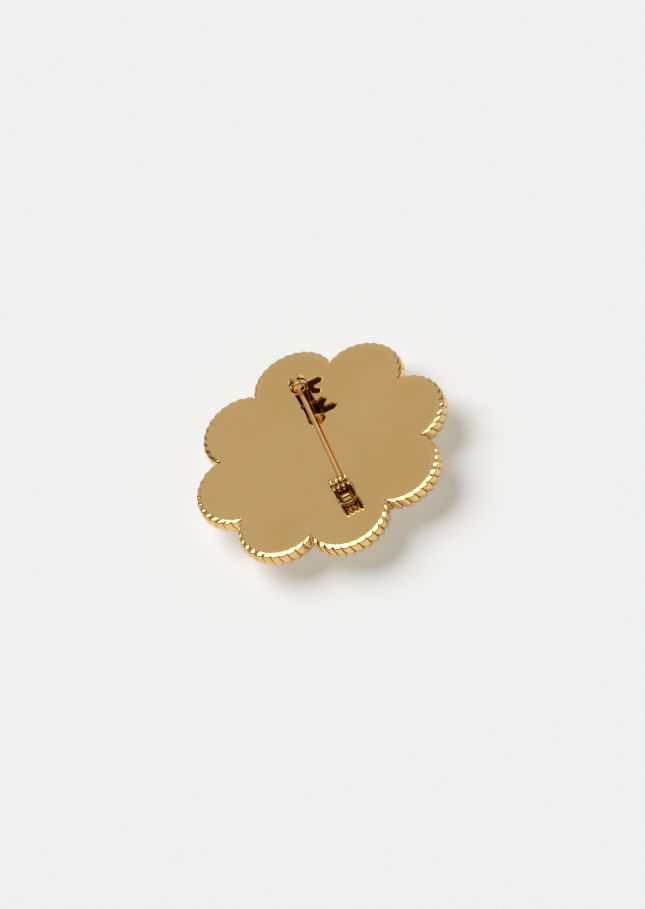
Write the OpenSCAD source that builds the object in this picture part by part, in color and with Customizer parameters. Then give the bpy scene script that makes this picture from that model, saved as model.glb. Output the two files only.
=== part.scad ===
// Flower brooch, lying face down with its pin finding on top
// Origin: on the surface it lies on, below the middle of the flower
// +Z out of the polished back, +Y from the hinge to the catch

/* [Flower] */
// Number of petals
petal_count = 8; // [8]
// Distance from the flower's middle to each petal's centre
petal_ring_r = 16.3; // [16:0.1:17]
// Radius of each lobe of the back plate
lobe_r = 6.9; // [6.6:0.05:6.9]
// Height of the polished back above the surface
back_z = 7; // [6.5:0.1:8]
// Thickness of the back plate
plate_t = 1.2; // [0.8:0.1:1.5]

/* [Rope rim] */
// Strands of the rope along one petal
strands = 12; // [8:1:16]
// Distance from a petal's centre to the middle of the rope
rope_mid_r = 7.55; // [7.5:0.05:7.8]
// Reach of the rope outwards from its middle
rope_half_w = 1.05; // [0.8:0.05:1.2]
// Half of the rope's height
rope_half_h = 2; // [1.8:0.05:2.1]
// Depth of the rope's middle below the back
rope_drop = 1.7; // [1.6:0.05:1.8]
// Depth of the valleys between strands
strand_depth = 0.28; // [0.1:0.02:0.4]
// Share of the rope's reach that is lost where two petals meet
notch_taper = 0.3; // [0:0.05:0.3]

/* [Petal front] */
// Depth of the petals' domes below the rope's level
dome_h = 3.5; // [2.5:0.1:3.5]
// Share of the dome's depth that is lost in the crease between petals
crease = 0.45; // [0.2:0.05:0.6]
// Wall of the front shell
front_wall = 0.8; // [0.6:0.1:1]
// Radius of the flat seat for the centre boss
seat_r = 4.6; // [4.5:0.1:5]
// Radius of the sphere that the centre boss is cut from
boss_r = 5; // [4.5:0.1:5]

/* [Hinge] */
// Sideways place of the hinge
hinge_x = 1.35; // [1:0.05:1.5]
// Place of the hinge along the pin
hinge_y = -12.85; // [-14:0.05:-12]
// Height of the rivet above the back
pivot_h = 3.6; // [3.4:0.05:3.8]
// Outer width over both ears
ears_w = 3.6; // [3.4:0.05:3.8]
// Thickness of each ear
ear_t = 0.85; // [0.6:0.05:0.9]
// Radius of the ears' round tops
ear_r = 1.6; // [1.5:0.05:1.7]
// Width of the hinge's base
hinge_base_w = 4; // [3.8:0.1:4.4]
// Thickness of the bases of hinge and catch
base_t = 0.4; // [0.3:0.05:0.5]
// Radius of the rivet
rivet_r = 0.7; // [0.6:0.05:0.7]

/* [Pin] */
// Radius of the pin wire
wire_r = 0.4; // [0.35:0.01:0.4]
// Radius of the stem where it leaves the coil
root_r = 0.42; // [0.4:0.01:0.44]
// Length over which the stem thickens towards the coil
root_len = 2.4; // [2:0.1:3]
// Mean radius of the coil's turns
coil_r = 1.15; // [1.13:0.01:1.17]
// Height of the stem above the back where it enters the catch
stem_h = 4.3; // [4.3:0.05:4.4]
// Length of the tapered point
point_len = 2.1; // [2:0.1:3]
// How far the point reaches past the catch's front
point_past = 1.7; // [1:0.1:2]

/* [Catch] */
// Sideways place of the catch
catch_x = 1.1; // [0.9:0.05:1.3]
// Place of the roller's front lip along the pin
catch_y = 11.1; // [11:0.05:12]
// Height of the roller's axis above the back
catch_h = 4.95; // [4.8:0.05:5.2]
// Outer radius of the rings
ring_r = 1.7; // [1.7:0.05:1.8]
// Wall of the rings
ring_wall = 0.33; // [0.3:0.01:0.4]
// Outer radius of the roller's front lip
lip_r = 1.6; // [1.5:0.05:1.7]
// Thickness of the roller's front lip
lip_t = 0.22; // [0.2:0.02:0.3]
// Length of the front ring
front_len = 0.42; // [0.4:0.02:0.8]
// Gap between the rings, where the lever turns
groove = 0.6; // [0.5:0.05:0.7]
// Length of the rear ring
rear_len = 0.75; // [0.7:0.05:1.1]
// Running clearance of the roller in the rings
roller_gap = 0.04; // [0.02:0.01:0.08]
// Radius of the roller's bore
bore_r = 1.05; // [1:0.01:1.1]
// Width of the rings' slot that lets the pin in
slot_w = 1; // [0.95:0.05:1.1]
// Direction of the rings' slot, seen from the hinge, from +X towards +Z
slot_angle = 97; // [96:1:100]
// Width of the roller's own slot
roller_slot_w = 1.5; // [1.2:0.1:1.6]
// Direction of the roller's slot when the catch is locked
lock_angle = -73; // [-76:1:-70]
// Thickness of the lever
lever_t = 0.5; // [0.4:0.05:0.5]

/* [Hidden] */
gold = [0.86, 0.68, 0.38];
seam = 0.05;
round_fn = 64;
sector = 180 / petal_count;

// Angle about a petal's centre at which a point at distance rho meets the next petal
function notch_angle(rho) = sector + asin(petal_ring_r * sin(sector) / rho);

// Rope rim: rings of points run along every petal, four to a strand
ring_points = 12;
rings_per_strand = 4;
starts = 3;
petal_rings = strands * rings_per_strand;
rope_rings = petal_rings * petal_count;
rope_inner = 0.6;
rope_z = back_z - rope_drop;
// Share of the strand depth at each point of a ring, from the bottom outwards and up
strand_share = [0, 1, 1, 1, 1, 0.4, 0, 0, 0, 0, 0, 0];

function ring_angle(j) = -90 + j * 360 / ring_points;
function strand_rise(i, j) = abs(sin(180 * (i / rings_per_strand + starts * ring_angle(j) / 360)));
function along(i) = 2 * i / petal_rings - 1;
function valley(i, j) = strand_depth * strand_share[j] * (1 - strand_rise(i, j));
function reach(i, j) = cos(ring_angle(j)) < -0.01 ? -rope_inner :
    cos(ring_angle(j)) * (rope_half_w * (1 - notch_taper * pow(along(i), 6)) - valley(i, j));
function rope_point(m, i, j) =
    let (rho = rope_mid_r + reach(i, j),
         beta = along(i) * notch_angle(rho),
         lobe = m * 2 * sector,
         z = rope_z + sin(ring_angle(j)) * (rope_half_h - valley(i, j)))
    [petal_ring_r * cos(lobe) + rho * cos(lobe + beta),
     petal_ring_r * sin(lobe) + rho * sin(lobe + beta),
     min(z, back_z)];
function rope_index(i, j) = (i % rope_rings) * ring_points + j % ring_points;

// Petal front: rays from the seat to the edge of the lobes
rays_per_petal = 10;
rays = rays_per_petal * petal_count;
steps = 7;
dome_top = 4 / 7;
seat_share = 0.25;
rope_bottom = rope_z - rope_half_h;
edge_z = max(dome_h, rope_bottom + 0.2);
front_top = back_z - plate_t - seam;

function off_axis(ray) = (ray * 2 * sector / rays_per_petal + sector) % (2 * sector) - sector;
function lobe_edge(ray, r) = petal_ring_r * cos(off_axis(ray))
    + sqrt(r * r - pow(petal_ring_r * sin(off_axis(ray)), 2));
function dome_shape(t) = t < dome_top
    ? 1 - (1 - seat_share) * pow((dome_top - t) / dome_top, 2)
    : 1 - pow((t - dome_top) / (1 - dome_top), 2);
function crease_shape(ray, t) = 1 - crease * pow(abs(off_axis(ray)) / sector, 2)
    * min(1, t / dome_top);
function front_z(ray, t) = edge_z - dome_h * dome_shape(t) * crease_shape(ray, t);
function front_point(ray, t, inset, lift) =
    let (theta = ray * 2 * sector / rays_per_petal,
         edge = lobe_edge(ray, lobe_r) - inset,
         r = seat_r + t * (edge - seat_r))
    [r * cos(theta), r * sin(theta), front_z(ray, t) + lift];
function wall_point(ray, inset) =
    let (p = front_point(ray, 1, inset, 0)) [p[0], p[1], front_top];

// Stem: from the top of the coil's right turn to its point inside the catch
back_axis = [hinge_x, hinge_y, back_z + pivot_h];
turn_x = wire_r - 0.01;
coil_shift = 0.06;
stem_from = back_axis + [turn_x + coil_shift, 0, coil_r];
stem_at_catch = [catch_x - 0.17, catch_y, back_z + stem_h];
stem_way = (stem_at_catch - stem_from) / norm(stem_at_catch - stem_from);
stem_len = (catch_y + point_past - hinge_y) / stem_way[1];
point_r = 0.06;

// Catch: the roller runs from its lip through the front ring to the rear ring
lip_gap = 0.05;
front_y = catch_y + lip_t + lip_gap;
groove_y = front_y + front_len;
rear_y = groove_y + groove;
catch_end = rear_y + rear_len;
roller_r = ring_r - ring_wall - roller_gap;
roller_inset = 0.05;
neck_w = 2.8;
// Lever outline from the roller's axis, seen from the hinge: [to the right, up]
lever_outline = [
    [0, -1.25], [0.6, 0.3], [1.6, 0.1], [3.85, 0.1], [4.7, -0.6], [4.65, -1],
    [4.15, -1.65], [2.7, -1.8], [2.5, -2.15], [3.6, -3.2], [3.3, -3.9],
    [2.8, -4.35], [2.2, -4.2], [1.6, -3.7]];

// A block with round upright corners
module rounded_block(w, l, t, r) {
    translate([-w / 2, r, 0]) cube([w, l - 2 * r, t]);
    translate([r - w / 2, 0, 0]) cube([w - 2 * r, l, t]);
    for (x = [r - w / 2, w / 2 - r], y = [r, l - r])
        translate([x, y, 0]) cylinder(r = r, h = t, $fn = round_fn);
}

// A cylinder along +X or +Y that starts at a point
module bar_x(from, r, len) {
    translate(from) rotate([0, 90, 0]) cylinder(r = r, h = len, $fn = round_fn);
}

module bar_y(from, r, len) {
    translate(from) rotate([-90, 0, 0]) cylinder(r = r, h = len, $fn = round_fn);
}

// A bar from the roller's axis outwards, as wide as a slot
module slot_bar(from_y, len, angle, width) {
    translate([catch_x, from_y, back_z + catch_h]) rotate([0, -angle, 0])
        translate([0, 0, -width / 2]) cube([2 * ring_r, len, width]);
}

module back_plate() {
    color(gold) translate([0, 0, back_z - plate_t]) {
        cylinder(r = petal_ring_r * cos(sector) + 2, h = plate_t, $fn = 2 * round_fn);
        for (m = [0:petal_count - 1]) rotate(m * 2 * sector)
            translate([petal_ring_r, 0, 0]) cylinder(r = lobe_r, h = plate_t, $fn = round_fn);
    }
}

module rope_rim() {
    points = [for (m = [0:petal_count - 1], i = [0:petal_rings - 1], j = [0:ring_points - 1])
        rope_point(m, i, j)];
    // Each face is cut along the way the strand runs
    faces = [for (i = [0:rope_rings - 1], j = [0:ring_points - 1], half = [0, 1])
        half == 0
            ? [rope_index(i, j), rope_index(i, j + 1), rope_index(i + 1, j)]
            : [rope_index(i + 1, j), rope_index(i, j + 1), rope_index(i + 1, j + 1)]];
    color(gold) polyhedron(points, faces, convexity = 8);
}

module petal_front() {
    rows = steps + 1;
    outer = [for (k = [0:steps], ray = [0:rays - 1]) front_point(ray, k / steps, 0, 0)];
    inner = [for (k = [0:steps], ray = [0:rays - 1])
        front_point(ray, k / steps, front_wall, front_wall)];
    points = concat(outer,
        [for (ray = [0:rays - 1]) wall_point(ray, 0)],
        [for (ray = [0:rays - 1]) wall_point(ray, front_wall)],
        [for (k = [0:steps], ray = [0:rays - 1]) inner[(steps - k) * rays + ray]],
        [[0, 0, front_z(0, 0)], [0, 0, front_z(0, 0) + front_wall]]);
    bands = 2 * rows + 1;
    first = rays * (bands + 1);
    color(gold) polyhedron(points, concat(
        [for (b = [0:bands - 1], ray = [0:rays - 1])
            let (next = (ray + 1) % rays)
            [b * rays + ray, b * rays + next, (b + 1) * rays + next]],
        [for (b = [0:bands - 1], ray = [0:rays - 1])
            let (next = (ray + 1) % rays)
            [b * rays + ray, (b + 1) * rays + next, (b + 1) * rays + ray]],
        [for (ray = [0:rays - 1]) [first, (ray + 1) % rays, ray]],
        [for (ray = [0:rays - 1])
            [first + 1, bands * rays + ray, bands * rays + (ray + 1) % rays]]), convexity = 6);
}

module flower_centre() {
    color(gold) intersection() {
        translate([0, 0, boss_r]) sphere(r = boss_r, $fn = round_fn);
        cylinder(r = boss_r, h = front_z(0, 0) - seam, $fn = round_fn);
    }
}

module hinge_ear(x) {
    bar_x([x, hinge_y, back_axis[2]], ear_r, ear_t);
    translate([x, hinge_y - ear_r, back_z]) cube([ear_t, 2 * ear_r, pivot_h]);
}

module stop_tongue() {
    tongue_w = 1.45;
    tongue_r = 1.1;
    tongue_wall = 0.35;
    end_y = hinge_y - 2.05;
    difference() {
        bar_x([hinge_x - tongue_w / 2, end_y + tongue_r, back_z + base_t], tongue_r, tongue_w);
        bar_x([hinge_x - tongue_w, end_y + tongue_r, back_z + base_t],
              tongue_r - tongue_wall, 2 * tongue_w);
        translate([hinge_x - tongue_w, end_y + tongue_r, back_z])
            cube([2 * tongue_w, 2 * tongue_r, 2 * tongue_r]);
        translate([hinge_x - tongue_w, end_y - tongue_r, back_z + base_t - 2 * tongue_r])
            cube([2 * tongue_w, 4 * tongue_r, 2 * tongue_r - base_t / 2]);
    }
}

// Low wall that joins the ears on the side of the catch
module hinge_wall() {
    wall_from = 1.15;
    wall_t = 0.4;
    wall_h = 1.75;
    translate([hinge_x - ears_w / 2 + ear_t / 2, hinge_y + wall_from, back_z])
        cube([ears_w - ear_t, wall_t, wall_h]);
}

module hinge_bracket() {
    base_r = hinge_base_w / 2;
    round_y = hinge_y - 0.5;
    color(gold) difference() {
        union() {
            translate([hinge_x, round_y, back_z]) cylinder(r = base_r, h = base_t, $fn = round_fn);
            translate([hinge_x - base_r, round_y, back_z]) cube([hinge_base_w, 2.4, base_t]);
            hinge_ear(hinge_x - ears_w / 2);
            hinge_ear(hinge_x + ears_w / 2 - ear_t);
            stop_tongue();
            hinge_wall();
        }
        bar_x(back_axis - [ears_w, 0, 0], rivet_r + 0.02, 2 * ears_w);
    }
}

module rivet_head(x, side) {
    head_r = 1;
    head_h = 0.12;
    ball_r = (head_r * head_r + head_h * head_h) / (2 * head_h);
    intersection() {
        translate([x - side * (ball_r - head_h), hinge_y, back_axis[2]])
            sphere(r = ball_r, $fn = round_fn);
        bar_x([side > 0 ? x : x - head_h, hinge_y, back_axis[2]], head_r, head_h);
    }
}

module hinge_rivet() {
    head_gap = 0.02;
    half = ears_w / 2 + head_gap;
    color(gold) {
        bar_x(back_axis - [half, 0, 0], rivet_r, 2 * half);
        rivet_head(hinge_x + half, 1);
        rivet_head(hinge_x - half, -1);
    }
}

module catch_ring(from_y, len) {
    difference() {
        union() {
            bar_y([catch_x, from_y, back_z + catch_h], ring_r, len);
            translate([catch_x - neck_w / 2, from_y, back_z]) cube([neck_w, len, catch_h]);
        }
        bar_y([catch_x, from_y - 1, back_z + catch_h], ring_r - ring_wall, len + 2);
        slot_bar(from_y - 1, len + 2, slot_angle, slot_w);
    }
}

module catch_housing() {
    base_w = 3.3;
    base_over = 0.25;
    color(gold) {
        translate([catch_x, front_y - base_over, back_z])
            rounded_block(base_w, catch_end - front_y + 2 * base_over, base_t, 0.5);
        catch_ring(front_y, front_len);
        catch_ring(rear_y, rear_len);
    }
}

module pin_stem() {
    straight = stem_len - root_len - point_len;
    tilt = [-acos(stem_way[2]), 0, atan2(-stem_way[0], stem_way[1])];
    color(gold) {
        for (side = [-1, 1]) translate(back_axis + [coil_shift + side * turn_x, 0, 0])
            rotate([0, 90, 0]) rotate_extrude($fn = round_fn)
                translate([coil_r, 0]) circle(r = wire_r, $fn = round_fn / 2);
        translate(stem_from) rotate([0, 0, tilt[2]]) rotate([tilt[0], 0, 0]) {
            cylinder(r1 = root_r, r2 = wire_r, h = root_len, $fn = round_fn);
            translate([0, 0, root_len]) cylinder(r = wire_r, h = straight, $fn = round_fn);
            translate([0, 0, root_len + straight])
                cylinder(r1 = wire_r, r2 = point_r, h = point_len, $fn = round_fn);
        }
    }
}

module catch_roller() {
    roller_len = catch_end - catch_y - roller_inset;
    lever_y = groove_y + (groove - lever_t) / 2;
    axis_z = back_z + catch_h;
    color(gold) difference() {
        union() {
            bar_y([catch_x, catch_y, axis_z], roller_r, roller_len);
            bar_y([catch_x, catch_y, axis_z], lip_r, lip_t);
            translate([catch_x, lever_y + lever_t, axis_z]) rotate([90, 0, 0])
                linear_extrude(height = lever_t) polygon(lever_outline);
        }
        bar_y([catch_x, catch_y - 1, axis_z], bore_r, roller_len + 2);
        slot_bar(catch_y - 1, roller_len + 2, lock_angle, roller_slot_w);
    }
}

back_plate();
rope_rim();
petal_front();
flower_centre();
hinge_bracket();
hinge_rivet();
catch_housing();
pin_stem();
catch_roller();
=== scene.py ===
import math

import bpy
from mathutils import Euler, Matrix, Vector


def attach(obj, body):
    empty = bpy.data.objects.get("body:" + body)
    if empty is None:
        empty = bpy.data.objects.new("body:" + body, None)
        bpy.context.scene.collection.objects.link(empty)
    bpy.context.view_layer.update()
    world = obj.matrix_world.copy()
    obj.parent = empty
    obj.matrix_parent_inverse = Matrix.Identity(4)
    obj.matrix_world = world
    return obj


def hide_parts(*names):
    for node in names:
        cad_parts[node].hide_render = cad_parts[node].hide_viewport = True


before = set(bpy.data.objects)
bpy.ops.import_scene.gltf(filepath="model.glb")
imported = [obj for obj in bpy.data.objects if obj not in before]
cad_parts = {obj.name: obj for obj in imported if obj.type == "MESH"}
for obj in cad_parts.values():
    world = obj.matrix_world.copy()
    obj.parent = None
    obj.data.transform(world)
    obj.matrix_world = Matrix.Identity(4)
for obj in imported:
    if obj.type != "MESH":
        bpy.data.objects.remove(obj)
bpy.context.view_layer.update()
print("CAD frame is in:", len(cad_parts), "nodes")

# Sizes in this file are in millimetres, and settlePiece shrinks each finished piece to metres
millimetre = 0.001
closeBy = 0.002              # places closer than this count as the same

# The flower's plan, shared by back, rim and front
flowerPlan = {
    "petals": 8,
    "petalRing": 16.3,       # from the middle to each petal's centre
    "backHeight": 7.0,       # polished back above the table
    "plateEdge": 6.95,       # where the plate meets the rim, from a petal's centre
    "frontEdge": 6.9,
}
halfPetal = math.pi / flowerPlan["petals"]

# Where the pin finding sits
findingPlan = {
    "hingeAcross": 1.35,     # sideways
    "hinge": -12.85,         # along the pin
    "pivotHeight": 10.6,
    "catchAcross": 1.1,
    "catchFront": 11.1,      # front of the roller's lip
    "catchHeight": 11.95,
}


# Shared moves

def looseAll():
    if bpy.context.object and bpy.context.object.mode != "OBJECT":
        bpy.ops.object.mode_set(mode="OBJECT")
    bpy.ops.object.select_all(action="DESELECT")


def onlyThis(piece):
    looseAll()
    piece.select_set(True)
    bpy.context.view_layer.objects.active = piece


def thicken(way):
    # Everything is extruded one way, and its faces turn outwards
    bpy.ops.object.mode_set(mode="EDIT")
    bpy.ops.mesh.select_all(action="SELECT")
    bpy.ops.mesh.extrude_region_move(TRANSFORM_OT_translate={"value": way})
    bpy.ops.mesh.select_all(action="SELECT")
    bpy.ops.mesh.normals_make_consistent(inside=False)
    bpy.ops.object.mode_set(mode="OBJECT")


def plateFromOutline(name, outline, low, high, along):
    # A filled circle is moved onto the outline and extruded along one axis
    looseAll()
    bpy.ops.mesh.primitive_circle_add(vertices=len(outline), radius=1, fill_type="NGON")
    piece = bpy.context.object
    piece.name = name
    axis = "XYZ".index(along)
    for vertex, point in zip(piece.data.vertices, outline):
        spot = list(point)
        spot.insert(axis, low)
        vertex.co = spot
    way = [0, 0, 0]
    way[axis] = high - low
    thicken(tuple(way))
    return piece


def mergeSkin():
    # Points that meet become one, and all faces turn outwards
    bpy.ops.object.mode_set(mode="EDIT")
    bpy.ops.mesh.select_all(action="SELECT")
    bpy.ops.mesh.remove_doubles(threshold=closeBy)
    bpy.ops.mesh.normals_make_consistent(inside=False)
    bpy.ops.object.mode_set(mode="OBJECT")


def spinPetals():
    # One petal's share becomes the whole flower
    turns = flowerPlan["petals"] - 1
    bpy.ops.object.mode_set(mode="EDIT")
    bpy.ops.mesh.select_all(action="SELECT")
    bpy.ops.mesh.spin(steps=turns, dupli=True, center=(0, 0, 0), axis=(0, 0, 1), angle=2 * halfPetal * turns)
    mergeSkin()


def applyModifier(piece, kind, **values):
    onlyThis(piece)
    modifier = piece.modifiers.new(kind.title(), kind)
    for key, value in values.items():
        setattr(modifier, key, value)
    bpy.ops.object.modifier_apply(modifier=modifier.name)


def roundEdges(piece, width, segments=3, angle=34):
    applyModifier(piece, "BEVEL", width=width, segments=segments, limit_method="ANGLE",
                  angle_limit=math.radians(angle), use_clamp_overlap=True)


def markPaintedShade(piece, isShaded):
    # Points in a recess take painted shade, the finish's darker tone
    deep = piece.data.attributes.new("valley", "FLOAT", "POINT")
    for value, vertex in zip(deep.data, piece.data.vertices):
        value.value = 1.0 if isShaded(vertex.co) else 0.0


def joinPieces(name, pieces):
    looseAll()
    for piece in pieces:
        piece.select_set(True)
    bpy.context.view_layer.objects.active = pieces[0]
    bpy.ops.object.join()
    pieces[0].name = name
    return pieces[0]


def smoothPiece(piece, angle=38, weighted=True):
    onlyThis(piece)
    bpy.ops.object.shade_smooth_by_angle(angle=math.radians(angle))
    if weighted:
        applyModifier(piece, "WEIGHTED_NORMAL", mode="FACE_AREA", weight=100, keep_sharp=True)


def settlePiece(piece, body, slotName, material, *nodes):
    onlyThis(piece)
    piece.scale = (millimetre,) * 3
    bpy.ops.object.transform_apply(location=True, rotation=True, scale=True)
    piece.data.name = piece.name
    piece.data.materials.clear()
    piece.data.materials.append(material)
    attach(piece, body)
    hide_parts(*nodes)
    print(piece.name, "is done:", len(piece.data.polygons), "faces")


# Places on the flower and on arcs

def arcPoints(centre, radius, start, end, count):
    ways = [math.radians(start + (end - start) * k / (count - 1)) for k in range(count)]
    return [(centre[0] + radius * math.cos(way), centre[1] + radius * math.sin(way)) for way in ways]


def circlePoints(centre, radius, count):
    return arcPoints(centre, radius, 0, 360 * (count - 1) / count, count)


def notchAngle(rho):
    return halfPetal + math.asin(flowerPlan["petalRing"] * math.sin(halfPetal) / rho)


def onRim(strand, strandsPerPetal, rho):
    # A place along the rim, counted in strands, at one distance from its petal's centre
    petal = math.floor(strand / strandsPerPetal)
    share = 2 * (strand - petal * strandsPerPetal) / strandsPerPetal - 1
    lobe = petal * 2 * halfPetal
    way = lobe + share * notchAngle(rho)
    return (flowerPlan["petalRing"] * math.cos(lobe) + rho * math.cos(way),
            flowerPlan["petalRing"] * math.sin(lobe) + rho * math.sin(way))


def petalDistance(point):
    # Distance from the nearest petal's centre
    way = round(math.atan2(point.y, point.x) / (2 * halfPetal)) * 2 * halfPetal
    return math.hypot(point.x - flowerPlan["petalRing"] * math.cos(way),
                      point.y - flowerPlan["petalRing"] * math.sin(way))


# Finishes

goldTones = {
    "bright": (0.91, 0.60, 0.252, 1.0),
    "warm": (0.85, 0.54, 0.19, 1.0),
    "shadow": (0.30, 0.15, 0.035, 1.0),
}
polishGrain = {
    "cloudEdges": (0.3, 0.7),
    "lineStretch": 0.06,      # makes the polishing lines long, along the pin
    "lineTurn": 0.5,          # shows another part of the same noise
    "bumpReach": 0.00002,     # metres
}
# Clouds, lines and pebbles are each a scale and an amount, and roughness is its least and its spread.
# Recesses take a painted shadow tone between two values of their mark, and turned faces are duller by satin
finishSettings = {
    "mirrorGold": {
        "clouds": (60, 0.6),
        "roughness": (0.035, 0.03),
        "lines": (2600, 0.25),
        "pebbles": (150, 0.5),
        "bump": 0.03,
    },
    "ropeGold": {
        "clouds": (160, 0.2),
        "roughness": (0.07, 0.05),
        "lines": (3000, 0.2),
        "pebbles": (900, 0.6),
        "bump": 0.10,
        # The rope's grooves take painted shade
        "recess": (0.42, 1.0),
        "recessTone": 0.95,
    },
    "petalGold": {
        "clouds": (120, 0.3),
        "roughness": (0.12, 0.10),
        "lines": (1800, 0.5),
        "pebbles": (700, 0.7),
        "bump": 0.15,
    },
    "sheetGold": {
        "clouds": (500, 0.5),
        "roughness": (0.06, 0.06),
        "lines": (5200, 0.6),
        "pebbles": (1400, 0.6),
        "bump": 0.12,
        # The finding's marked parts take painted shade
        "recess": (0.1, 1.0),
        "recessTone": 0.85,
        "satin": 0.34,
    },
    "wireGold": {
        "clouds": (400, 0.3),
        "roughness": (0.06, 0.05),
        "lines": (6000, 0.6),
        "pebbles": (1800, 0.4),
        "bump": 0.10,
    },
}


def addNode(tree, kind, **values):
    # A value named set and then a socket goes to that socket, any other to the node itself
    node = tree.nodes.new(kind)
    for key, value in values.items():
        if key.startswith("set"):
            node.inputs[key[3:].replace("_", " ")].default_value = value
        else:
            setattr(node, key, value)
    return node


def smoothRise(tree, edges, full=1.0):
    # Rises smoothly from nothing to full between two edges
    return addNode(tree, "ShaderNodeMapRange", interpolation_type="SMOOTHSTEP", setFrom_Min=edges[0],
                   setFrom_Max=edges[1], setTo_Max=full)


def buildPolishGroup():
    # Tone clouds, fine polishing lines and a soft pebble that every gold finish shares
    tree = bpy.data.node_groups.new("goldPolish", "ShaderNodeTree")
    for name in ("Colour", "Deep Colour"):
        tree.interface.new_socket(name=name, in_out="INPUT", socket_type="NodeSocketColor")
    for name in ("Cloud Scale", "Cloud Amount", "Roughness", "Roughness Spread",
                 "Line Scale", "Line Amount", "Pebble Scale", "Pebble Amount"):
        tree.interface.new_socket(name=name, in_out="INPUT", socket_type="NodeSocketFloat")
    tree.interface.new_socket(name="Colour", in_out="OUTPUT", socket_type="NodeSocketColor")
    for name in ("Roughness", "Height"):
        tree.interface.new_socket(name=name, in_out="OUTPUT", socket_type="NodeSocketFloat")
    inside, outside = tree.nodes.new("NodeGroupInput"), tree.nodes.new("NodeGroupOutput")
    place = addNode(tree, "ShaderNodeTexCoord")
    clouds = addNode(tree, "ShaderNodeTexNoise", setDetail=3.0, setRoughness=0.55)
    spread = smoothRise(tree, polishGrain["cloudEdges"])
    cloudShare = addNode(tree, "ShaderNodeMath", operation="MULTIPLY")
    tone = addNode(tree, "ShaderNodeMix", data_type="RGBA")
    turn = addNode(tree, "ShaderNodeMapping")
    turn.inputs["Rotation"].default_value = (0.0, 0.0, polishGrain["lineTurn"])
    turn.inputs["Scale"].default_value = (1.0, polishGrain["lineStretch"], 1.0)
    lines = addNode(tree, "ShaderNodeTexNoise", setDetail=4.0, setRoughness=0.6)
    pebble = addNode(tree, "ShaderNodeTexNoise", setDetail=2.0, setRoughness=0.5)
    lineHeight = addNode(tree, "ShaderNodeMath", operation="MULTIPLY")
    pebbleHeight = addNode(tree, "ShaderNodeMath", operation="MULTIPLY")
    height = addNode(tree, "ShaderNodeMath", operation="ADD")
    roughShare = addNode(tree, "ShaderNodeMath", operation="MULTIPLY_ADD")
    link = tree.links.new
    for texture, scale in ((clouds, "Cloud Scale"), (pebble, "Pebble Scale")):
        link(place.outputs["Object"], texture.inputs["Vector"])
        link(inside.outputs[scale], texture.inputs["Scale"])
    link(place.outputs["Object"], turn.inputs["Vector"])
    link(turn.outputs["Vector"], lines.inputs["Vector"])
    link(inside.outputs["Line Scale"], lines.inputs["Scale"])
    link(clouds.outputs["Fac"], spread.inputs["Value"])
    link(spread.outputs["Result"], cloudShare.inputs[0])
    link(inside.outputs["Cloud Amount"], cloudShare.inputs[1])
    link(cloudShare.outputs[0], tone.inputs["Factor"])
    link(inside.outputs["Colour"], tone.inputs["A"])
    link(inside.outputs["Deep Colour"], tone.inputs["B"])
    link(tone.outputs["Result"], outside.inputs["Colour"])
    link(lines.outputs["Fac"], roughShare.inputs[0])
    link(inside.outputs["Roughness Spread"], roughShare.inputs[1])
    link(inside.outputs["Roughness"], roughShare.inputs[2])
    link(roughShare.outputs[0], outside.inputs["Roughness"])
    link(lines.outputs["Fac"], lineHeight.inputs[0])
    link(inside.outputs["Line Amount"], lineHeight.inputs[1])
    link(pebble.outputs["Fac"], pebbleHeight.inputs[0])
    link(inside.outputs["Pebble Amount"], pebbleHeight.inputs[1])
    link(lineHeight.outputs[0], height.inputs[0])
    link(pebbleHeight.outputs[0], height.inputs[1])
    link(height.outputs[0], outside.inputs["Height"])
    return tree


polishGroup = buildPolishGroup()


def placePolish(tree, finish):
    group = addNode(tree, "ShaderNodeGroup", node_tree=polishGroup)
    group.inputs["Colour"].default_value = goldTones["bright"]
    group.inputs["Deep Colour"].default_value = goldTones["warm"]
    for key, label in (("clouds", "Cloud"), ("lines", "Line"), ("pebbles", "Pebble")):
        scale, amount = finish[key]
        group.inputs[label + " Scale"].default_value = scale
        group.inputs[label + " Amount"].default_value = amount
    least, spread = finish["roughness"]
    group.inputs["Roughness"].default_value = least
    group.inputs["Roughness Spread"].default_value = spread
    return group


def paintShadeInRecesses(tree, finish, colour):
    # The rope's grooves and the finding's recesses take painted shade, a darker tone
    mark = addNode(tree, "ShaderNodeAttribute", attribute_name="valley")
    depth = smoothRise(tree, finish["recess"], finish["recessTone"])
    shade = addNode(tree, "ShaderNodeMix", data_type="RGBA")
    shade.inputs["B"].default_value = goldTones["shadow"]
    tree.links.new(mark.outputs["Fac"], depth.inputs["Value"])
    tree.links.new(depth.outputs["Result"], shade.inputs["Factor"])
    tree.links.new(colour, shade.inputs["A"])
    return shade.outputs["Result"]


def dullTurnedFaces(tree, finish, rough):
    turned = addNode(tree, "ShaderNodeAttribute", attribute_name="satin")
    dull = addNode(tree, "ShaderNodeMath", operation="MULTIPLY_ADD")
    dull.inputs[1].default_value = finish["satin"]
    tree.links.new(turned.outputs["Fac"], dull.inputs[0])
    tree.links.new(rough, dull.inputs[2])
    return dull.outputs[0]


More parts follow.
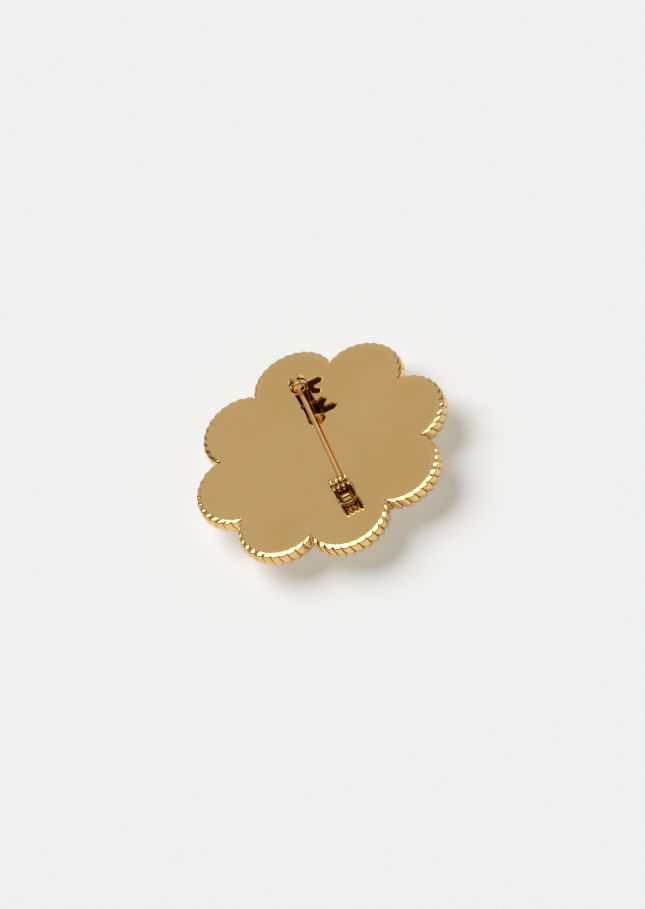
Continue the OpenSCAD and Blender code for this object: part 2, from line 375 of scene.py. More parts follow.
def goldFinish(name):
    finish = finishSettings[name]
    material = bpy.data.materials.new(name)
    material.use_nodes = True
    tree = material.node_tree
    shader = tree.nodes["Principled BSDF"]
    shader.inputs["Metallic"].default_value = 1.0
    group = placePolish(tree, finish)
    colour, rough = group.outputs["Colour"], group.outputs["Roughness"]
    if "recess" in finish:
        colour = paintShadeInRecesses(tree, finish, colour)
    if "satin" in finish:
        rough = dullTurnedFaces(tree, finish, rough)
    bump = addNode(tree, "ShaderNodeBump", setStrength=finish["bump"], setDistance=polishGrain["bumpReach"])
    tree.links.new(colour, shader.inputs["Base Color"])
    tree.links.new(rough, shader.inputs["Roughness"])
    tree.links.new(group.outputs["Height"], bump.inputs["Height"])
    tree.links.new(bump.outputs["Normal"], shader.inputs["Normal"])
    return material


mirrorGold = goldFinish("mirrorGold")
ropeGold = goldFinish("ropeGold")
petalGold = goldFinish("petalGold")
sheetGold = goldFinish("sheetGold")
wireGold = goldFinish("wireGold")
print("Finishes are ready")


# Twisted rim

rimSettings = {
    "strands": 12,            # to a petal
    "rings": 14,              # points across one strand
    "flatTo": 7.66,           # end of the flat top, from the petal's centre
    "flatStrip": 0.06,        # last strip of the flat top
    "fullness": 0.62,         # how full each strand is between its grooves
    "crest": 1.25,            # moves each strand's crest towards its steeper end
    "pinch": 0.5,             # share of the bulge that is lost where two petals meet
    "pinchPower": 5,          # how near to that place it is lost
    "fullShade": 0.2,          # groove depth that takes the whole painted shade
    "innerCorner": 0.25,
    "firstSlope": 7,
    "firstGroove": 0.02,
    # Each stretch of the section, from the flat top round to the inside:
    # length, slope at its end, points, groove depth at its end, lean in strands per mm
    "stretches": [
        (0.76, 15, 8, 0.17, 0.05),
        (0.30, 70, 6, 0.33, 0.12),
        (1.50, 95, 8, 0.44, 0.15),
        (1.25, 140, 7, 0.62, 0.15),
        (0.90, 185, 5, 0.50, 0.15),
    ],
}


def rimSection():
    # Points of the section: distance from the petal's centre, height, slope, groove depth, lean
    top, inner, corner = flowerPlan["backHeight"], flowerPlan["plateEdge"], rimSettings["innerCorner"]
    rho, height, lean = rimSettings["flatTo"], top, 0.0
    points = [(inner, top, 0, 0, 0), (rho - rimSettings["flatStrip"], top, 0, 0, 0), (rho, top, 0, 0, 0)]
    slope, groove = rimSettings["firstSlope"], rimSettings["firstGroove"]
    for length, endSlope, count, endGroove, leanRate in rimSettings["stretches"]:
        for k in range(count):
            middle = math.radians(slope + (endSlope - slope) * (k + 0.5) / count)
            rho += length / count * math.cos(middle)
            height -= length / count * math.sin(middle)
            lean += leanRate * length / count
            steepness = slope + (endSlope - slope) * (k + 1) / count
            depth = groove + (endGroove - groove) * (k + 1) / count
            points.append((rho, height, steepness, depth, lean))
        slope, groove = endSlope, endGroove
    points.append((inner + corner, height, 180, 0, lean))
    points.append((inner, height + corner, 270, 0, lean))
    points.append((inner, (height + top) / 2, 270, 0, lean / 2))
    points.append((inner, top, 270, 0, 0))
    return points


def creaseFlatTop(rim):
    # The flat top ends in a crisp line
    marks = rim.data.attributes
    sharp = marks.get("sharp_edge") or marks.new("sharp_edge", "BOOLEAN", "EDGE")
    for line in rim.data.edges:
        ends = [rim.data.vertices[v].co for v in line.vertices]
        level = all(abs(p.z - flowerPlan["backHeight"]) < closeBy for p in ends)
        if level and all(abs(petalDistance(p) - rimSettings["flatTo"]) < closeBy for p in ends):
            sharp.data[line.index].value = True


def buildTwistedRim():
    section = rimSection()
    strands, rings = rimSettings["strands"], rimSettings["rings"]
    looseAll()
    bpy.ops.mesh.primitive_grid_add(x_subdivisions=len(section) - 1, y_subdivisions=strands * rings, size=2)
    rim = bpy.context.object
    rim.name = "twistedRim"
    valley = rim.data.attributes.new("valley", "FLOAT", "POINT")
    for index, vertex in enumerate(rim.data.vertices):
        row, column = divmod(index, len(section))
        rho, height, slope, groove, lean = section[column]
        across = (row / rings % 1) ** rimSettings["crest"]
        low = 1 - abs(math.sin(math.pi * across)) ** rimSettings["fullness"]
        rho -= groove * low * math.sin(math.radians(slope))
        height -= groove * low * math.cos(math.radians(slope))
        place = row / rings + lean
        towardsNotch = abs(2 * (place / strands % 1) - 1)
        bulge = max(0.0, rho - rimSettings["flatTo"])
        rho -= bulge * rimSettings["pinch"] * towardsNotch ** rimSettings["pinchPower"]
        x, y = onRim(place, strands, rho)
        vertex.co = (x, y, height)
        # Deeper grooves are painted darker, a painted shade in the rope's grooves
        valley.data[index].value = low * min(1.0, groove / rimSettings["fullShade"])
    spinPetals()
    smoothPiece(rim, angle=50, weighted=False)
    creaseFlatTop(rim)
    settlePiece(rim, "root", "rope_gold", ropeGold, "rope_rim")


buildTwistedRim()


# Polished back

backSettings = {
    "thickness": 1.2,
    "tuck": 0.05,             # draws its lower edge in, clear of the rope
}


def buildBack():
    points = rimSettings["strands"] * rimSettings["rings"] * flowerPlan["petals"]
    outline = [onRim(k / rimSettings["rings"], rimSettings["strands"], flowerPlan["plateEdge"])
               for k in range(points)]
    top, thick = flowerPlan["backHeight"], backSettings["thickness"]
    back = plateFromOutline("polishedBack", outline, top, top - thick, "Z")
    for vertex in back.data.vertices:
        if vertex.co.z < top - thick / 2:
            flat = Vector((vertex.co.x, vertex.co.y))
            flat *= 1 - backSettings["tuck"] / flat.length
            vertex.co.x, vertex.co.y = flat
    smoothPiece(back, weighted=False)
    settlePiece(back, "root", "polished_back", mirrorGold, "back_plate")


buildBack()


# Petal front

frontSettings = {
    "domeDepth": 3.5,
    "crease": 0.45,           # how deep the fold between two petals is, as a share of the dome
    "wall": 0.8,
    "seatRadius": 4.6,        # of the flat seat under the boss
    "seatShare": 0.25,        # the seat's share of the dome's depth
    "top": 5.75,
    "domeTop": 4 / 7,         # where the dome is deepest, from the seat to the petal's edge
    "rays": 24,               # across one petal
    "steps": 22,
    "seatSteps": 4,
    "wallSteps": 2,
}


def petalHeight(share, t):
    domeTop = frontSettings["domeTop"]
    if t < domeTop:
        dome = 1 - (1 - frontSettings["seatShare"]) * ((domeTop - t) / domeTop) ** 2
    else:
        dome = 1 - ((t - domeTop) / (1 - domeTop)) ** 2
    fold = 1 - frontSettings["crease"] * share ** 2 * min(1, t / domeTop)
    return frontSettings["domeDepth"] * (1 - dome * fold)


def buildPetalFront():
    rays, steps = frontSettings["rays"], frontSettings["steps"]
    seatSteps, wallSteps = frontSettings["seatSteps"], frontSettings["wallSteps"]
    looseAll()
    bpy.ops.mesh.primitive_grid_add(x_subdivisions=rays, y_subdivisions=steps + seatSteps + wallSteps, size=2)
    front = bpy.context.object
    front.name = "petalFront"
    ring, edge, seat = flowerPlan["petalRing"], flowerPlan["frontEdge"], frontSettings["seatRadius"]
    for index, vertex in enumerate(front.data.vertices):
        row, column = divmod(index, rays + 1)
        share = 2 * column / rays - 1
        way = share * halfPetal
        lobe = ring * math.cos(way) + math.sqrt(edge ** 2 - (ring * math.sin(way)) ** 2)
        if row <= seatSteps:
            radius, height = seat * row / seatSteps, petalHeight(share, 0)
        elif row <= seatSteps + steps:
            t = (row - seatSteps) / steps
            radius, height = seat + t * (lobe - seat), petalHeight(share, t)
        else:
            rise = (row - seatSteps - steps) / wallSteps
            low = petalHeight(share, 1)
            radius, height = lobe, low + rise * (frontSettings["top"] - low)
        vertex.co = (radius * math.cos(way), radius * math.sin(way), height)
    spinPetals()
    if front.data.polygons[0].normal.z > 0:         # an open shell: its outside looks down
        front.data.flip_normals()
    applyModifier(front, "SOLIDIFY", thickness=frontSettings["wall"], offset=-1)
    smoothPiece(front, angle=40, weighted=False)
    settlePiece(front, "root", "front_gold", petalGold, "petal_front")


buildPetalFront()


# Boss in the middle of the front

bossSettings = {
    "radius": 5.0,
    "top": 2.575,             # where the ball is cut off
    "edge": 0.12,
    "segments": 72,
    "rings": 40,
}


def buildBoss():
    looseAll()
    radius = bossSettings["radius"]
    bpy.ops.mesh.primitive_uv_sphere_add(segments=bossSettings["segments"], ring_count=bossSettings["rings"],
                                         radius=radius, location=(0, 0, radius))
    boss = bpy.context.object
    boss.name = "centreBoss"
    bpy.ops.object.transform_apply(location=True, rotation=True, scale=True)
    bpy.ops.object.mode_set(mode="EDIT")
    bpy.ops.mesh.select_all(action="SELECT")
    bpy.ops.mesh.bisect(plane_co=(0, 0, bossSettings["top"]), plane_no=(0, 0, 1), use_fill=True,
                        clear_outer=True)
    bpy.ops.object.mode_set(mode="OBJECT")
    roundEdges(boss, bossSettings["edge"])
    smoothPiece(boss)
    settlePiece(boss, "root", "front_gold", petalGold, "flower_centre")


buildBoss()


# Hinge

hingeSettings = {
    "outerWidth": 3.6,
    "arcSteps": 33,
    "earThickness": 0.7,
    "earRadius": 1.6,
    "earFoot": 1.2,           # half of an ear's width below the back
    "earSunk": 0.4,           # how far it reaches below the back
    "earBend": 1.6,           # height from which it narrows to that foot
    "earEdge": 0.36,
    "baseWidth": 4.0,
    "baseThickness": 0.4,
    "baseFront": -13.35,      # middle of its round end
    "baseBack": -10.95,
    "baseEdge": 0.1,
    "tongueWidth": 1.45,
    "tongueRadius": 1.1,
    "tongueWall": 0.35,
    "tongueMiddle": -13.8,
    "tongueArc": (190, 88),   # degrees that its curl runs through
    "tongueSteps": 17,
    "tongueEdge": 0.1,
    "wallPlace": (-11.7, -11.3),
    "wallFoot": 0.1,
    "wallHeight": 1.75,
    "wallEdge": 0.08,
    "rivetRadius": 0.7,
    "rivetHead": 1.0,
    "headHeight": 0.14,
    "headRound": 0.9,         # share of a head's height that is rounded
    "rivetSteps": 48,
    "headSteps": 72,
}


def hingeBase():
    middle, top = findingPlan["hingeAcross"], flowerPlan["backHeight"]
    radius, rear = hingeSettings["baseWidth"] / 2, hingeSettings["baseBack"]
    outline = arcPoints((middle, hingeSettings["baseFront"]), radius, 180, 360, hingeSettings["arcSteps"])
    outline += [(middle + radius, rear), (middle - radius, rear)]
    upper = top + hingeSettings["baseThickness"]
    base = plateFromOutline("hingeBase", outline, top, upper, "Z")
    roundEdges(base, hingeSettings["baseEdge"])
    # The base's top is painted shade
    markPaintedShade(base, lambda p: p.z > upper - closeBy)
    return base


def hingeEar(low):
    pivot, radius, foot = findingPlan["hinge"], hingeSettings["earRadius"], hingeSettings["earFoot"]
    bend = flowerPlan["backHeight"] + hingeSettings["earBend"]
    sunk = flowerPlan["backHeight"] - hingeSettings["earSunk"]
    outline = arcPoints((pivot, findingPlan["pivotHeight"]), radius, 0, 180, hingeSettings["arcSteps"])
    outline += [(pivot - radius, bend), (pivot - foot, sunk), (pivot + foot, sunk), (pivot + radius, bend)]
    high = low + hingeSettings["earThickness"]
    ear = plateFromOutline("hingeEar", outline, low, high, "X")
    roundEdges(ear, hingeSettings["earEdge"], 6)
    inner = min(low, high, key=lambda x: abs(x - findingPlan["hingeAcross"]))
    # The ear's inner face is painted shade
    markPaintedShade(ear, lambda p: abs(p.x - inner) < closeBy)
    return ear


def stopTongue():
    middle, half = findingPlan["hingeAcross"], hingeSettings["tongueWidth"] / 2
    centre = (hingeSettings["tongueMiddle"], flowerPlan["backHeight"] + hingeSettings["baseThickness"])
    outer, steps = hingeSettings["tongueRadius"], hingeSettings["tongueSteps"]
    start, end = hingeSettings["tongueArc"]
    outline = arcPoints(centre, outer, start, end, steps)
    outline += arcPoints(centre, outer - hingeSettings["tongueWall"], end, start, steps)
    tongue = plateFromOutline("stopTongue", outline, middle - half, middle + half, "X")
    roundEdges(tongue, hingeSettings["tongueEdge"])
    return tongue


def shadeWall():
    middle, top = findingPlan["hingeAcross"], flowerPlan["backHeight"]
    reach = (hingeSettings["outerWidth"] - hingeSettings["earThickness"]) / 2
    near, far = hingeSettings["wallPlace"]
    low, high = top + hingeSettings["wallFoot"], top + hingeSettings["wallHeight"]
    outline = [(near, low), (far, low), (far, high), (near, high)]
    wall = plateFromOutline("shadeWall", outline, middle - reach, middle + reach, "X")
    roundEdges(wall, hingeSettings["wallEdge"], 2)
    # The whole wall is painted shade, dark gold for the shade between the ears
    markPaintedShade(wall, lambda p: True)
    return wall


def buildBracket():
    middle, half = findingPlan["hingeAcross"], hingeSettings["outerWidth"] / 2
    farEar = middle + half - hingeSettings["earThickness"]
    parts = [hingeBase(), hingeEar(middle - half), hingeEar(farEar), stopTongue(), shadeWall()]
    bracket = joinPieces("hingeBracket", parts)
    smoothPiece(bracket)
    settlePiece(bracket, "root", "finding_gold", sheetGold, "hinge_bracket")


def buildRivet():
    middle, half = findingPlan["hingeAcross"], hingeSettings["outerWidth"] / 2
    centre, headHeight = (findingPlan["hinge"], findingPlan["pivotHeight"]), hingeSettings["headHeight"]
    outline = circlePoints(centre, hingeSettings["rivetRadius"], hingeSettings["rivetSteps"])
    shaft = plateFromOutline("rivetShaft", outline, middle - half, middle + half, "X")
    # The rivet's shaft between the ears is painted shade
    markPaintedShade(shaft, lambda p: True)
    parts = [shaft]
    outline = circlePoints(centre, hingeSettings["rivetHead"], hingeSettings["headSteps"])
    for side in (-1, 1):
        low, high = sorted((middle + side * half, middle + side * (half + headHeight)))
        head = plateFromOutline("rivetHead", outline, low, high, "X")
        roundEdges(head, headHeight * hingeSettings["headRound"], 5)
        parts.append(head)
    rivet = joinPieces("hingeRivet", parts)
    smoothPiece(rivet)
    settlePiece(rivet, "root", "finding_gold", sheetGold, "hinge_rivet")


buildBracket()
buildRivet()


# Pin wire

wireSettings = {
    "radius": 0.4,
    "coilRadius": 1.15,
    "coilThin": 0.95,         # the wire's share of its radius in the coil
    "stemGain": 0.02,         # share that it gains at each step of the stem, until it is whole
    "turns": 1.4,
    # Sideways place of the wound wire, from the stem back to its end: turns, place
    "winding": [(0, 0.5), (0.25, 0.45), (1.25, -0.6), (1.4, -0.6)],
    "stemAside": -0.17,       # from the catch's middle, at the front of the lip
    "stemHeight": 11.3,       # above the table, there too
    "pointPast": 1.7,         # past the front of the lip
    "pointLength": 2.1,
    "pointRadius": 0.07,
    "pointTaper": 1.6,
    "stepsPerTurn": 48,
    "stemSteps": 25,
    "pointSteps": 14,
    "roundness": 8,
}


def windingPlace(back):
    knots = wireSettings["winding"]
    for (a, low), (b, high) in zip(knots, knots[1:]):
        if back <= b:
            return low + (high - low) * (back - a) / (b - a)
    return knots[-1][1]


def wirePath():
    # Places from the coil's end to the point, each with the wire's share of its radius there
    middle, pivot, height = findingPlan["hingeAcross"], findingPlan["hinge"], findingPlan["pivotHeight"]
    turns, coil, thin = wireSettings["turns"], wireSettings["coilRadius"], wireSettings["coilThin"]
    start = Vector((middle + windingPlace(0), pivot, height + coil))
    atCatch = Vector((findingPlan["catchAcross"] + wireSettings["stemAside"], findingPlan["catchFront"],
                      wireSettings["stemHeight"]))
    way = (atCatch - start).normalized()
    path = []
    steps = round(wireSettings["stepsPerTurn"] * turns)
    for k in range(steps):                          # the coil comes up to the stem on the right
        back = (steps - k) / steps * turns
        angle = 2 * math.pi * back
        path.append((middle + windingPlace(back), pivot - coil * math.sin(angle),
                     height + coil * math.cos(angle), thin))
    length = (atCatch.y + wireSettings["pointPast"] - start.y) / way.y
    tip, steps = wireSettings["pointLength"], wireSettings["stemSteps"]
    for k in range(steps + 1):
        share = min(1.0, thin + wireSettings["stemGain"] * k)
        path.append((*(start + way * ((length - tip) * k / steps)), share))
    sharpening = 1 - wireSettings["pointRadius"] / wireSettings["radius"]
    for k in range(1, wireSettings["pointSteps"] + 1):
        t = k / wireSettings["pointSteps"]
        share = 1 - sharpening * t ** wireSettings["pointTaper"]
        path.append((*(start + way * (length - tip + tip * t)), share))
    return path


def buildPinWire():
    path = wirePath()
    looseAll()
    bpy.ops.curve.primitive_nurbs_path_add()
    wire = bpy.context.object
    wire.name = "pinWire"
    wire.data.splines.clear()
    spline = wire.data.splines.new("POLY")
    spline.points.add(len(path) - 1)
    for point, (x, y, z, share) in zip(spline.points, path):
        point.co = (x, y, z, 1)
        point.radius = share
    wire.data.dimensions = "3D"
    wire.data.bevel_depth = wireSettings["radius"]
    wire.data.bevel_resolution = wireSettings["roundness"]
    wire.data.use_fill_caps = True
    bpy.ops.object.convert(target="MESH")
    wire = bpy.context.object
    mergeSkin()
    smoothPiece(wire, angle=50, weighted=False)
    settlePiece(wire, "pin", "pin_gold", wireGold, "pin_stem")


buildPinWire()


# Safety catch

catchSettings = {
    "ringRadius": 1.7,
    "ringWall": 0.33,
    "ringFront": 0.27,        # from the lip's front to the front ring
    "ringEdge": 0.14,
    "frontLength": 0.42,
    "groove": 0.6,
    "rearLength": 0.75,
    "neckWidth": 2.8,
    "neckFoot": 0.1,          # above the back
    "neckShade": 1.0,          # height up to which the neck is painted shade
    "faceShade": 0.05,         # depth of the painted shade on a ring's front
    "baseWidth": 3.3,
    "baseOver": 0.25,         # past the rings, in front and behind
    "baseThickness": 0.4,
    "baseEdge": 0.05,
    "slotWidth": 1.0,
    "slotAngle": 97,
    "ringSteps": 40,          # on each side of the slot
    "boreSteps": 64,
    "rollerRadius": 1.33,
    "rollerInset": 0.05,
    "rollerEdge": 0.05,
    "boreRadius": 1.05,
    "rollerSlot": 1.5,
    "lockAngle": -73,
    "tubeSteps": 84,
    "lipRadius": 1.68,
    "lipThickness": 0.22,
    "lipDome": 0.17,
    "lipColumns": 12,
    "lipSatin": 0.25,
    "leverThickness": 0.5,
    "leverChamfer": 0.17,
    "leverEdge": 0.035,
    "leverOutline": [(1.15, 0.2), (1.6, 0.1), (3.85, 0.1), (4.3, -0.22), (4.7, -0.6), (4.65, -1.0),
                     (4.15, -1.65), (2.7, -1.8), (2.5, -2.15), (3.6, -3.2), (3.3, -3.9), (2.8, -4.35),
                     (2.2, -4.2), (1.6, -3.7), (0.75, -1.05)],
}


def ringPlaces():
    # Along the pin: front of the first ring, front of the second and its rear
    front = findingPlan["catchFront"] + catchSettings["ringFront"]
    end = front + catchSettings["frontLength"] + catchSettings["groove"] + catchSettings["rearLength"]
    return front, end - catchSettings["rearLength"], end


def ringOutline():
    # A ring with a slot that reaches its bore, on a neck
    radius, neck = catchSettings["ringRadius"], catchSettings["neckWidth"] / 2
    bore = radius - catchSettings["ringWall"]
    steps, boreSteps = catchSettings["ringSteps"], catchSettings["boreSteps"]
    slot, slotAngle = catchSettings["slotWidth"] / 2, catchSettings["slotAngle"]
    middle, height = findingPlan["catchAcross"], findingPlan["catchHeight"]
    down = height - flowerPlan["backHeight"] - catchSettings["neckFoot"]
    outside, inside = math.degrees(math.asin(slot / radius)), math.degrees(math.asin(slot / bore))
    foot = math.degrees(math.acos(neck / radius))
    outline = arcPoints((0, 0), radius, slotAngle + outside, 180 + foot, steps)
    outline += [(-neck, -down), (neck, -down)]
    outline += arcPoints((0, 0), radius, 360 - foot, slotAngle + 360 - outside, steps)
    outline += arcPoints((0, 0), bore, slotAngle + 360 - inside, slotAngle + inside, boreSteps)
    return [(x + middle, z + height) for x, z in outline]


def slottedTube(name, radius, low, high, dome=0.0, columns=1):
    # A strip from the bore to the outside, bent round the axis and drawn out along it, its front domed
    middle, height = findingPlan["catchAcross"], findingPlan["catchHeight"]
    bore, steps = catchSettings["boreRadius"], catchSettings["tubeSteps"]
    looseAll()
    bpy.ops.mesh.primitive_grid_add(x_subdivisions=columns, y_subdivisions=steps, size=2)
    tube = bpy.context.object
    tube.name = name
    for index, vertex in enumerate(tube.data.vertices):
        row, column = divmod(index, columns + 1)
        across = 1 - math.cos(math.pi * column / columns)
        reach = bore + (radius - bore) * across / 2
        half = math.asin(catchSettings["rollerSlot"] / 2 / reach)
        way = math.radians(catchSettings["lockAngle"]) + half + 2 * (math.pi - half) * row / steps
        sunk = dome * (1 - math.sqrt(max(0.0, 1 - (across - 1) ** 2)))
        vertex.co = (middle + reach * math.cos(way), low + sunk, height + reach * math.sin(way))
    fronts = len(tube.data.vertices)
    thicken((0, high - low, 0))
    for vertex in tube.data.vertices[fronts:]:      # the rear stays flat
        vertex.co.y = high
    return tube


def buildHousing():
    middle, top = findingPlan["catchAcross"], flowerPlan["backHeight"]
    front, rear, end = ringPlaces()
    width, over = catchSettings["baseWidth"] / 2, catchSettings["baseOver"]
    corners = [(middle - width, front - over), (middle + width, front - over),
               (middle + width, end + over), (middle - width, end + over)]
    base = plateFromOutline("catchBase", corners, top, top + catchSettings["baseThickness"], "Z")
    roundEdges(base, catchSettings["baseEdge"], 2)
    parts = [base]
    neckShade = top + catchSettings["neckShade"]
    for low, high in ((front, front + catchSettings["frontLength"]), (rear, end)):
        ring = plateFromOutline("catchRing", ringOutline(), low, high, "Y")
        roundEdges(ring, catchSettings["ringEdge"], 4)
        faceShade = low + catchSettings["faceShade"]
        # The neck and each ring's front face are painted shade
        markPaintedShade(ring, lambda p: p.z < neckShade or p.y < faceShade)
        parts.append(ring)
    housing = joinPieces("catchHousing", parts)
    smoothPiece(housing)
    settlePiece(housing, "root", "finding_gold", sheetGold, "catch_housing")


def rollerLip():
    low, thick = findingPlan["catchFront"], catchSettings["lipThickness"]
    lip = slottedTube("rollerLip", catchSettings["lipRadius"], low, low + thick, catchSettings["lipDome"],
                      catchSettings["lipColumns"])
    satin = lip.data.attributes.new("satin", "FLOAT", "POINT")
    for value in satin.data:
        value.value = catchSettings["lipSatin"]
    return lip


def fishtailLever():
    middle, height = findingPlan["catchAcross"], findingPlan["catchHeight"]
    front, thick = ringPlaces()[0], catchSettings["leverThickness"]
    low = front + catchSettings["frontLength"] + (catchSettings["groove"] - thick) / 2
    outline = [(x + middle, z + height) for x, z in catchSettings["leverOutline"]]
    lever = plateFromOutline("fishtailLever", outline, low, low + thick, "Y")
    roundEdges(lever, catchSettings["leverChamfer"], 1, angle=60)
    roundEdges(lever, catchSettings["leverEdge"], 3, angle=25)
    return lever


def buildRoller():
    tube = slottedTube("rollerTube", catchSettings["rollerRadius"],
                       findingPlan["catchFront"] + catchSettings["lipThickness"] / 2,
                       ringPlaces()[2] - catchSettings["rollerInset"])
    roundEdges(tube, catchSettings["rollerEdge"])
    roller = joinPieces("catchRoller", [tube, rollerLip(), fishtailLever()])
    smoothPiece(roller)
    settlePiece(roller, "roller", "finding_gold", sheetGold, "catch_roller")


buildHousing()
buildRoller()


# Studio

studio = {
    "pale": 0.871,            # the paper's tone
    "paperAlbedo": 0.8,
    "paperGlow": 0.4,         # the paper's own light, the share that no shadow takes away
    "thrownGlow": 0.1,        # what is left of it in light that the gold throws back
    "paperRadius": 0.6,       # metres
    "ambient": 0.02,          # from high overhead only
    "glowTint": (1.06, 1.0, 0.86),
    "keyTint": (0.948, 1.0, 1.122),  # makes the lit paper neutral again
    "keyStrength": 2.28,
    "keySpread": 50,
    "keyHeight": 52,
    "keySide": 34,            # from behind the brooch, turned to its left
    "backdrop": 0.552,
    "leftBackdrop": 0.27,
    "cornerShade": 0.65,      # share that the backdrop loses high up on the right
    "frontLight": 0.5,
    "rightLight": 0.5,
    "rightGlow": 0.48,        # on top of the light from the right
    "dark": 0.009,
    "warmDark": (0.25, 0.33),  # how fast red is kept and blue is lost as the light fades
    "softbox": 4.5,
    "overhead": 1.6,
    "thrownLight": 0.2,
}
# Where each light is still dark and where it is full. The softbox lies in the plane one unit above
# the brooch, a turn is sideways over backwards, and the rest are directions' own parts
lightEdges = {
    "softboxLeft": (-0.9, -0.6),
    "softboxRight": (0.5, 0.32),
    "softboxFront": (-0.45, -0.3),
    "softboxRear": (0.62, 0.4),
    "softboxBright": (0.14, 0.24),
    "backdropTurn": (-0.7, -0.35),
    "backdropLeftTurn": (-1.5, -1.1),
    "backdropRear": (0.05, 0.35),
    "backdropTop": (0.88, 0.8),
    "cornerTurn": (0.45, 0.75),
    "cornerLow": (0.55, 0.68),
    "front": (0.7, 0.9),
    "patchTurn": (0.45, 0.8),
    "patchTop": (0.62, 0.5),
    "patchRear": (0.1, 0.3),
    "right": (0.5, 0.8),
    "rightTop": (0.75, 0.6),
    "ambientLow": (0.55, 0.75),
    "bounces": (0.0, 1.0),
    "least": 0.02,            # keeps a division by height or depth finite
}
photoView = {
    "azimuth": 5.63,
    "height": 48.15,
    "roll": 29.45,
    "lens": 300,
    "sensor": 36.0,
    "pixelsPerMm": 5.426,
    "centre": (319.9, 448.6),  # pixel of the polished back's middle
    "frame": (645, 909),
}


def buildWorld():
    world = bpy.data.worlds.new("studioAir")
    bpy.context.scene.world = world
    world.use_nodes = True
    tree = world.node_tree
    tree.nodes.clear()
    link = tree.links.new

    def band(value, edge, full=1.0):
        node = smoothRise(tree, lightEdges[edge], full)
        link(value, node.inputs["Value"])
        return node.outputs["Result"]

    def maths(kind, total, *others):
        for other in others:
            node = addNode(tree, "ShaderNodeMath", operation=kind)
            for socket, value in zip(node.inputs, (total, other)):
                if isinstance(value, (int, float)):
                    socket.default_value = value
                else:
                    link(value, socket)
            total = node.outputs[0]
        return total

    place = addNode(tree, "ShaderNodeTexCoord")
    parts = addNode(tree, "ShaderNodeSeparateXYZ")
    link(place.outputs["Generated"], parts.inputs[0])
    x, y, z = parts.outputs
    lift = maths("MAXIMUM", z, lightEdges["least"])
    side, depth = maths("DIVIDE", x, lift), maths("DIVIDE", y, lift)
    turn = maths("DIVIDE", x, maths("MAXIMUM", y, lightEdges["least"]))
    # Softbox overhead
    box = maths("MULTIPLY", band(side, "softboxLeft"), band(side, "softboxRight"),
                band(depth, "softboxFront"), band(depth, "softboxRear"))
    # Its front part is dimmer, so that the back keeps some of its gold in views from above
    power = band(depth, "softboxBright", studio["softbox"] - studio["overhead"])
    box = maths("MULTIPLY", box, maths("ADD", power, studio["overhead"]))
    # Backdrop behind, dimmer than the softbox, fading to the left, dark in front and high on the right
    drop = maths("ADD", band(turn, "backdropTurn", studio["backdrop"] - studio["leftBackdrop"]),
                 band(turn, "backdropLeftTurn", studio["leftBackdrop"]))
    drop = maths("MULTIPLY", drop, band(y, "backdropRear"), band(z, "backdropTop"))
    corner = maths("MULTIPLY", band(turn, "cornerTurn"), band(z, "cornerLow", studio["cornerShade"]))
    drop = maths("MULTIPLY", drop, maths("SUBTRACT", 1.0, corner))
    # Low light in front
    front = band(maths("MULTIPLY", y, -1.0), "front", studio["frontLight"])
    # Low light on the right, with a brighter patch behind
    patch = maths("MULTIPLY", band(turn, "patchTurn"), band(z, "patchTop", studio["rightGlow"]),
                  band(y, "patchRear"))
    right = maths("MULTIPLY", band(x, "right", studio["rightLight"]), band(z, "rightTop"))
    right = maths("ADD", right, patch)
    glow = maths("MAXIMUM", maths("ADD", drop, front), right)
    glow = maths("ADD", glow, studio["dark"], box)
    # Dim light is warmer than the backdrop's
    share = maths("MINIMUM", maths("DIVIDE", glow, studio["backdrop"]), 1.0)
    warmth = addNode(tree, "ShaderNodeCombineXYZ")
    link(maths("POWER", share, -studio["warmDark"][0]), warmth.inputs["X"])
    warmth.inputs["Y"].default_value = 1.0
    link(maths("POWER", share, studio["warmDark"][1]), warmth.inputs["Z"])

    reflected = addNode(tree, "ShaderNodeBackground")
    plain = addNode(tree, "ShaderNodeBackground", setStrength=studio["pale"])
    ambient = addNode(tree, "ShaderNodeBackground")
    link(band(z, "ambientLow", studio["ambient"]), ambient.inputs["Strength"])
    for node in (plain, ambient):
        node.inputs["Color"].default_value = (1, 1, 1, 1)
    link(warmth.outputs[0], reflected.inputs["Color"])
    path = addNode(tree, "ShaderNodeLightPath")
    # The gold throws less of this light back onto the paper
    lost = maths("MULTIPLY", band(path.outputs["Diffuse Depth"], "bounces"), 1 - studio["thrownLight"])
    glow = maths("MULTIPLY", glow, maths("SUBTRACT", 1.0, lost))
    glossy, seen = addNode(tree, "ShaderNodeMixShader"), addNode(tree, "ShaderNodeMixShader")
    link(glow, reflected.inputs["Strength"])
    link(path.outputs["Is Glossy Ray"], glossy.inputs[0])
    link(ambient.outputs[0], glossy.inputs[1])
    link(reflected.outputs[0], glossy.inputs[2])
    link(path.outputs["Is Camera Ray"], seen.inputs[0])
    link(glossy.outputs[0], seen.inputs[1])
    link(plain.outputs[0], seen.inputs[2])
    link(seen.outputs[0], addNode(tree, "ShaderNodeOutputWorld").inputs["Surface"])


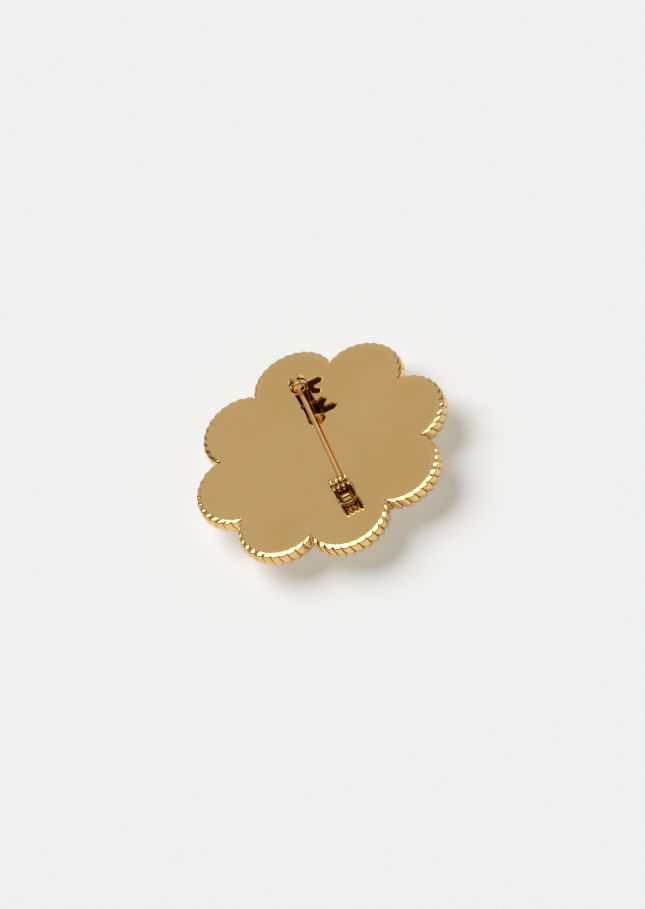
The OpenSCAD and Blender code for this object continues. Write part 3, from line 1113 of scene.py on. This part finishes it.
def buildPaper():
    looseAll()
    bpy.ops.mesh.primitive_circle_add(vertices=96, radius=studio["paperRadius"], fill_type="NGON")
    paper = bpy.context.object
    paper.name = "palePaper"
    material = bpy.data.materials.new("palePaper")
    material.use_nodes = True
    tree = material.node_tree
    shader = tree.nodes["Principled BSDF"]
    shader.inputs["Base Color"].default_value = (studio["paperAlbedo"],) * 3 + (1,)
    shader.inputs["Emission Color"].default_value = studio["glowTint"] + (1,)
    path = addNode(tree, "ShaderNodeLightPath")
    glow = addNode(tree, "ShaderNodeMapRange", setTo_Min=studio["paperGlow"], setTo_Max=studio["thrownGlow"])
    tree.links.new(path.outputs["Diffuse Depth"], glow.inputs["Value"])
    tree.links.new(glow.outputs["Result"], shader.inputs["Emission Strength"])
    shader.inputs["Roughness"].default_value = 1.0
    shader.inputs["Specular IOR Level"].default_value = 0.0
    paper.data.materials.append(material)


def buildLights():
    looseAll()
    bpy.ops.object.light_add(type="SUN")
    key = bpy.context.object
    key.name = "keyLight"
    key.data.energy = studio["keyStrength"]
    key.data.color = studio["keyTint"]
    key.data.angle = math.radians(studio["keySpread"])
    tilt = math.radians(90 - studio["keyHeight"])
    key.rotation_euler = Euler((-tilt, 0, math.radians(studio["keySide"])), "XYZ")
    key.visible_glossy = False


def buildCamera():
    looseAll()
    bpy.ops.object.camera_add()
    camera = bpy.context.object
    camera.name = "photoCamera"
    camera.data.lens = photoView["lens"]
    camera.data.sensor_width = photoView["sensor"]
    azimuth, height = math.radians(photoView["azimuth"]), math.radians(photoView["height"])
    level = math.cos(height)
    back = Vector((math.sin(azimuth) * level, -math.cos(azimuth) * level, math.sin(height)))
    roll = Matrix.Rotation(math.radians(-photoView["roll"]), 3, "Z")
    turned = (-back).to_track_quat("-Z", "Y").to_matrix() @ roll
    width, tall = photoView["frame"]
    view = photoView["sensor"] / photoView["lens"]  # the sensor's width is the frame's long side
    distance = tall / photoView["pixelsPerMm"] * millimetre / view
    perPixel = distance * view / tall
    shiftX = (width / 2 - photoView["centre"][0]) * perPixel
    shiftY = (photoView["centre"][1] - tall / 2) * perPixel
    aim = Vector((0, 0, flowerPlan["backHeight"] * millimetre))
    camera.location = aim + back * distance + turned @ Vector((shiftX, shiftY, 0))
    camera.rotation_euler = turned.to_euler()
    bpy.context.scene.camera = camera


buildWorld()
buildPaper()
buildLights()
buildCamera()
bpy.context.scene.view_settings.view_transform = "Standard"
print("Studio is set")
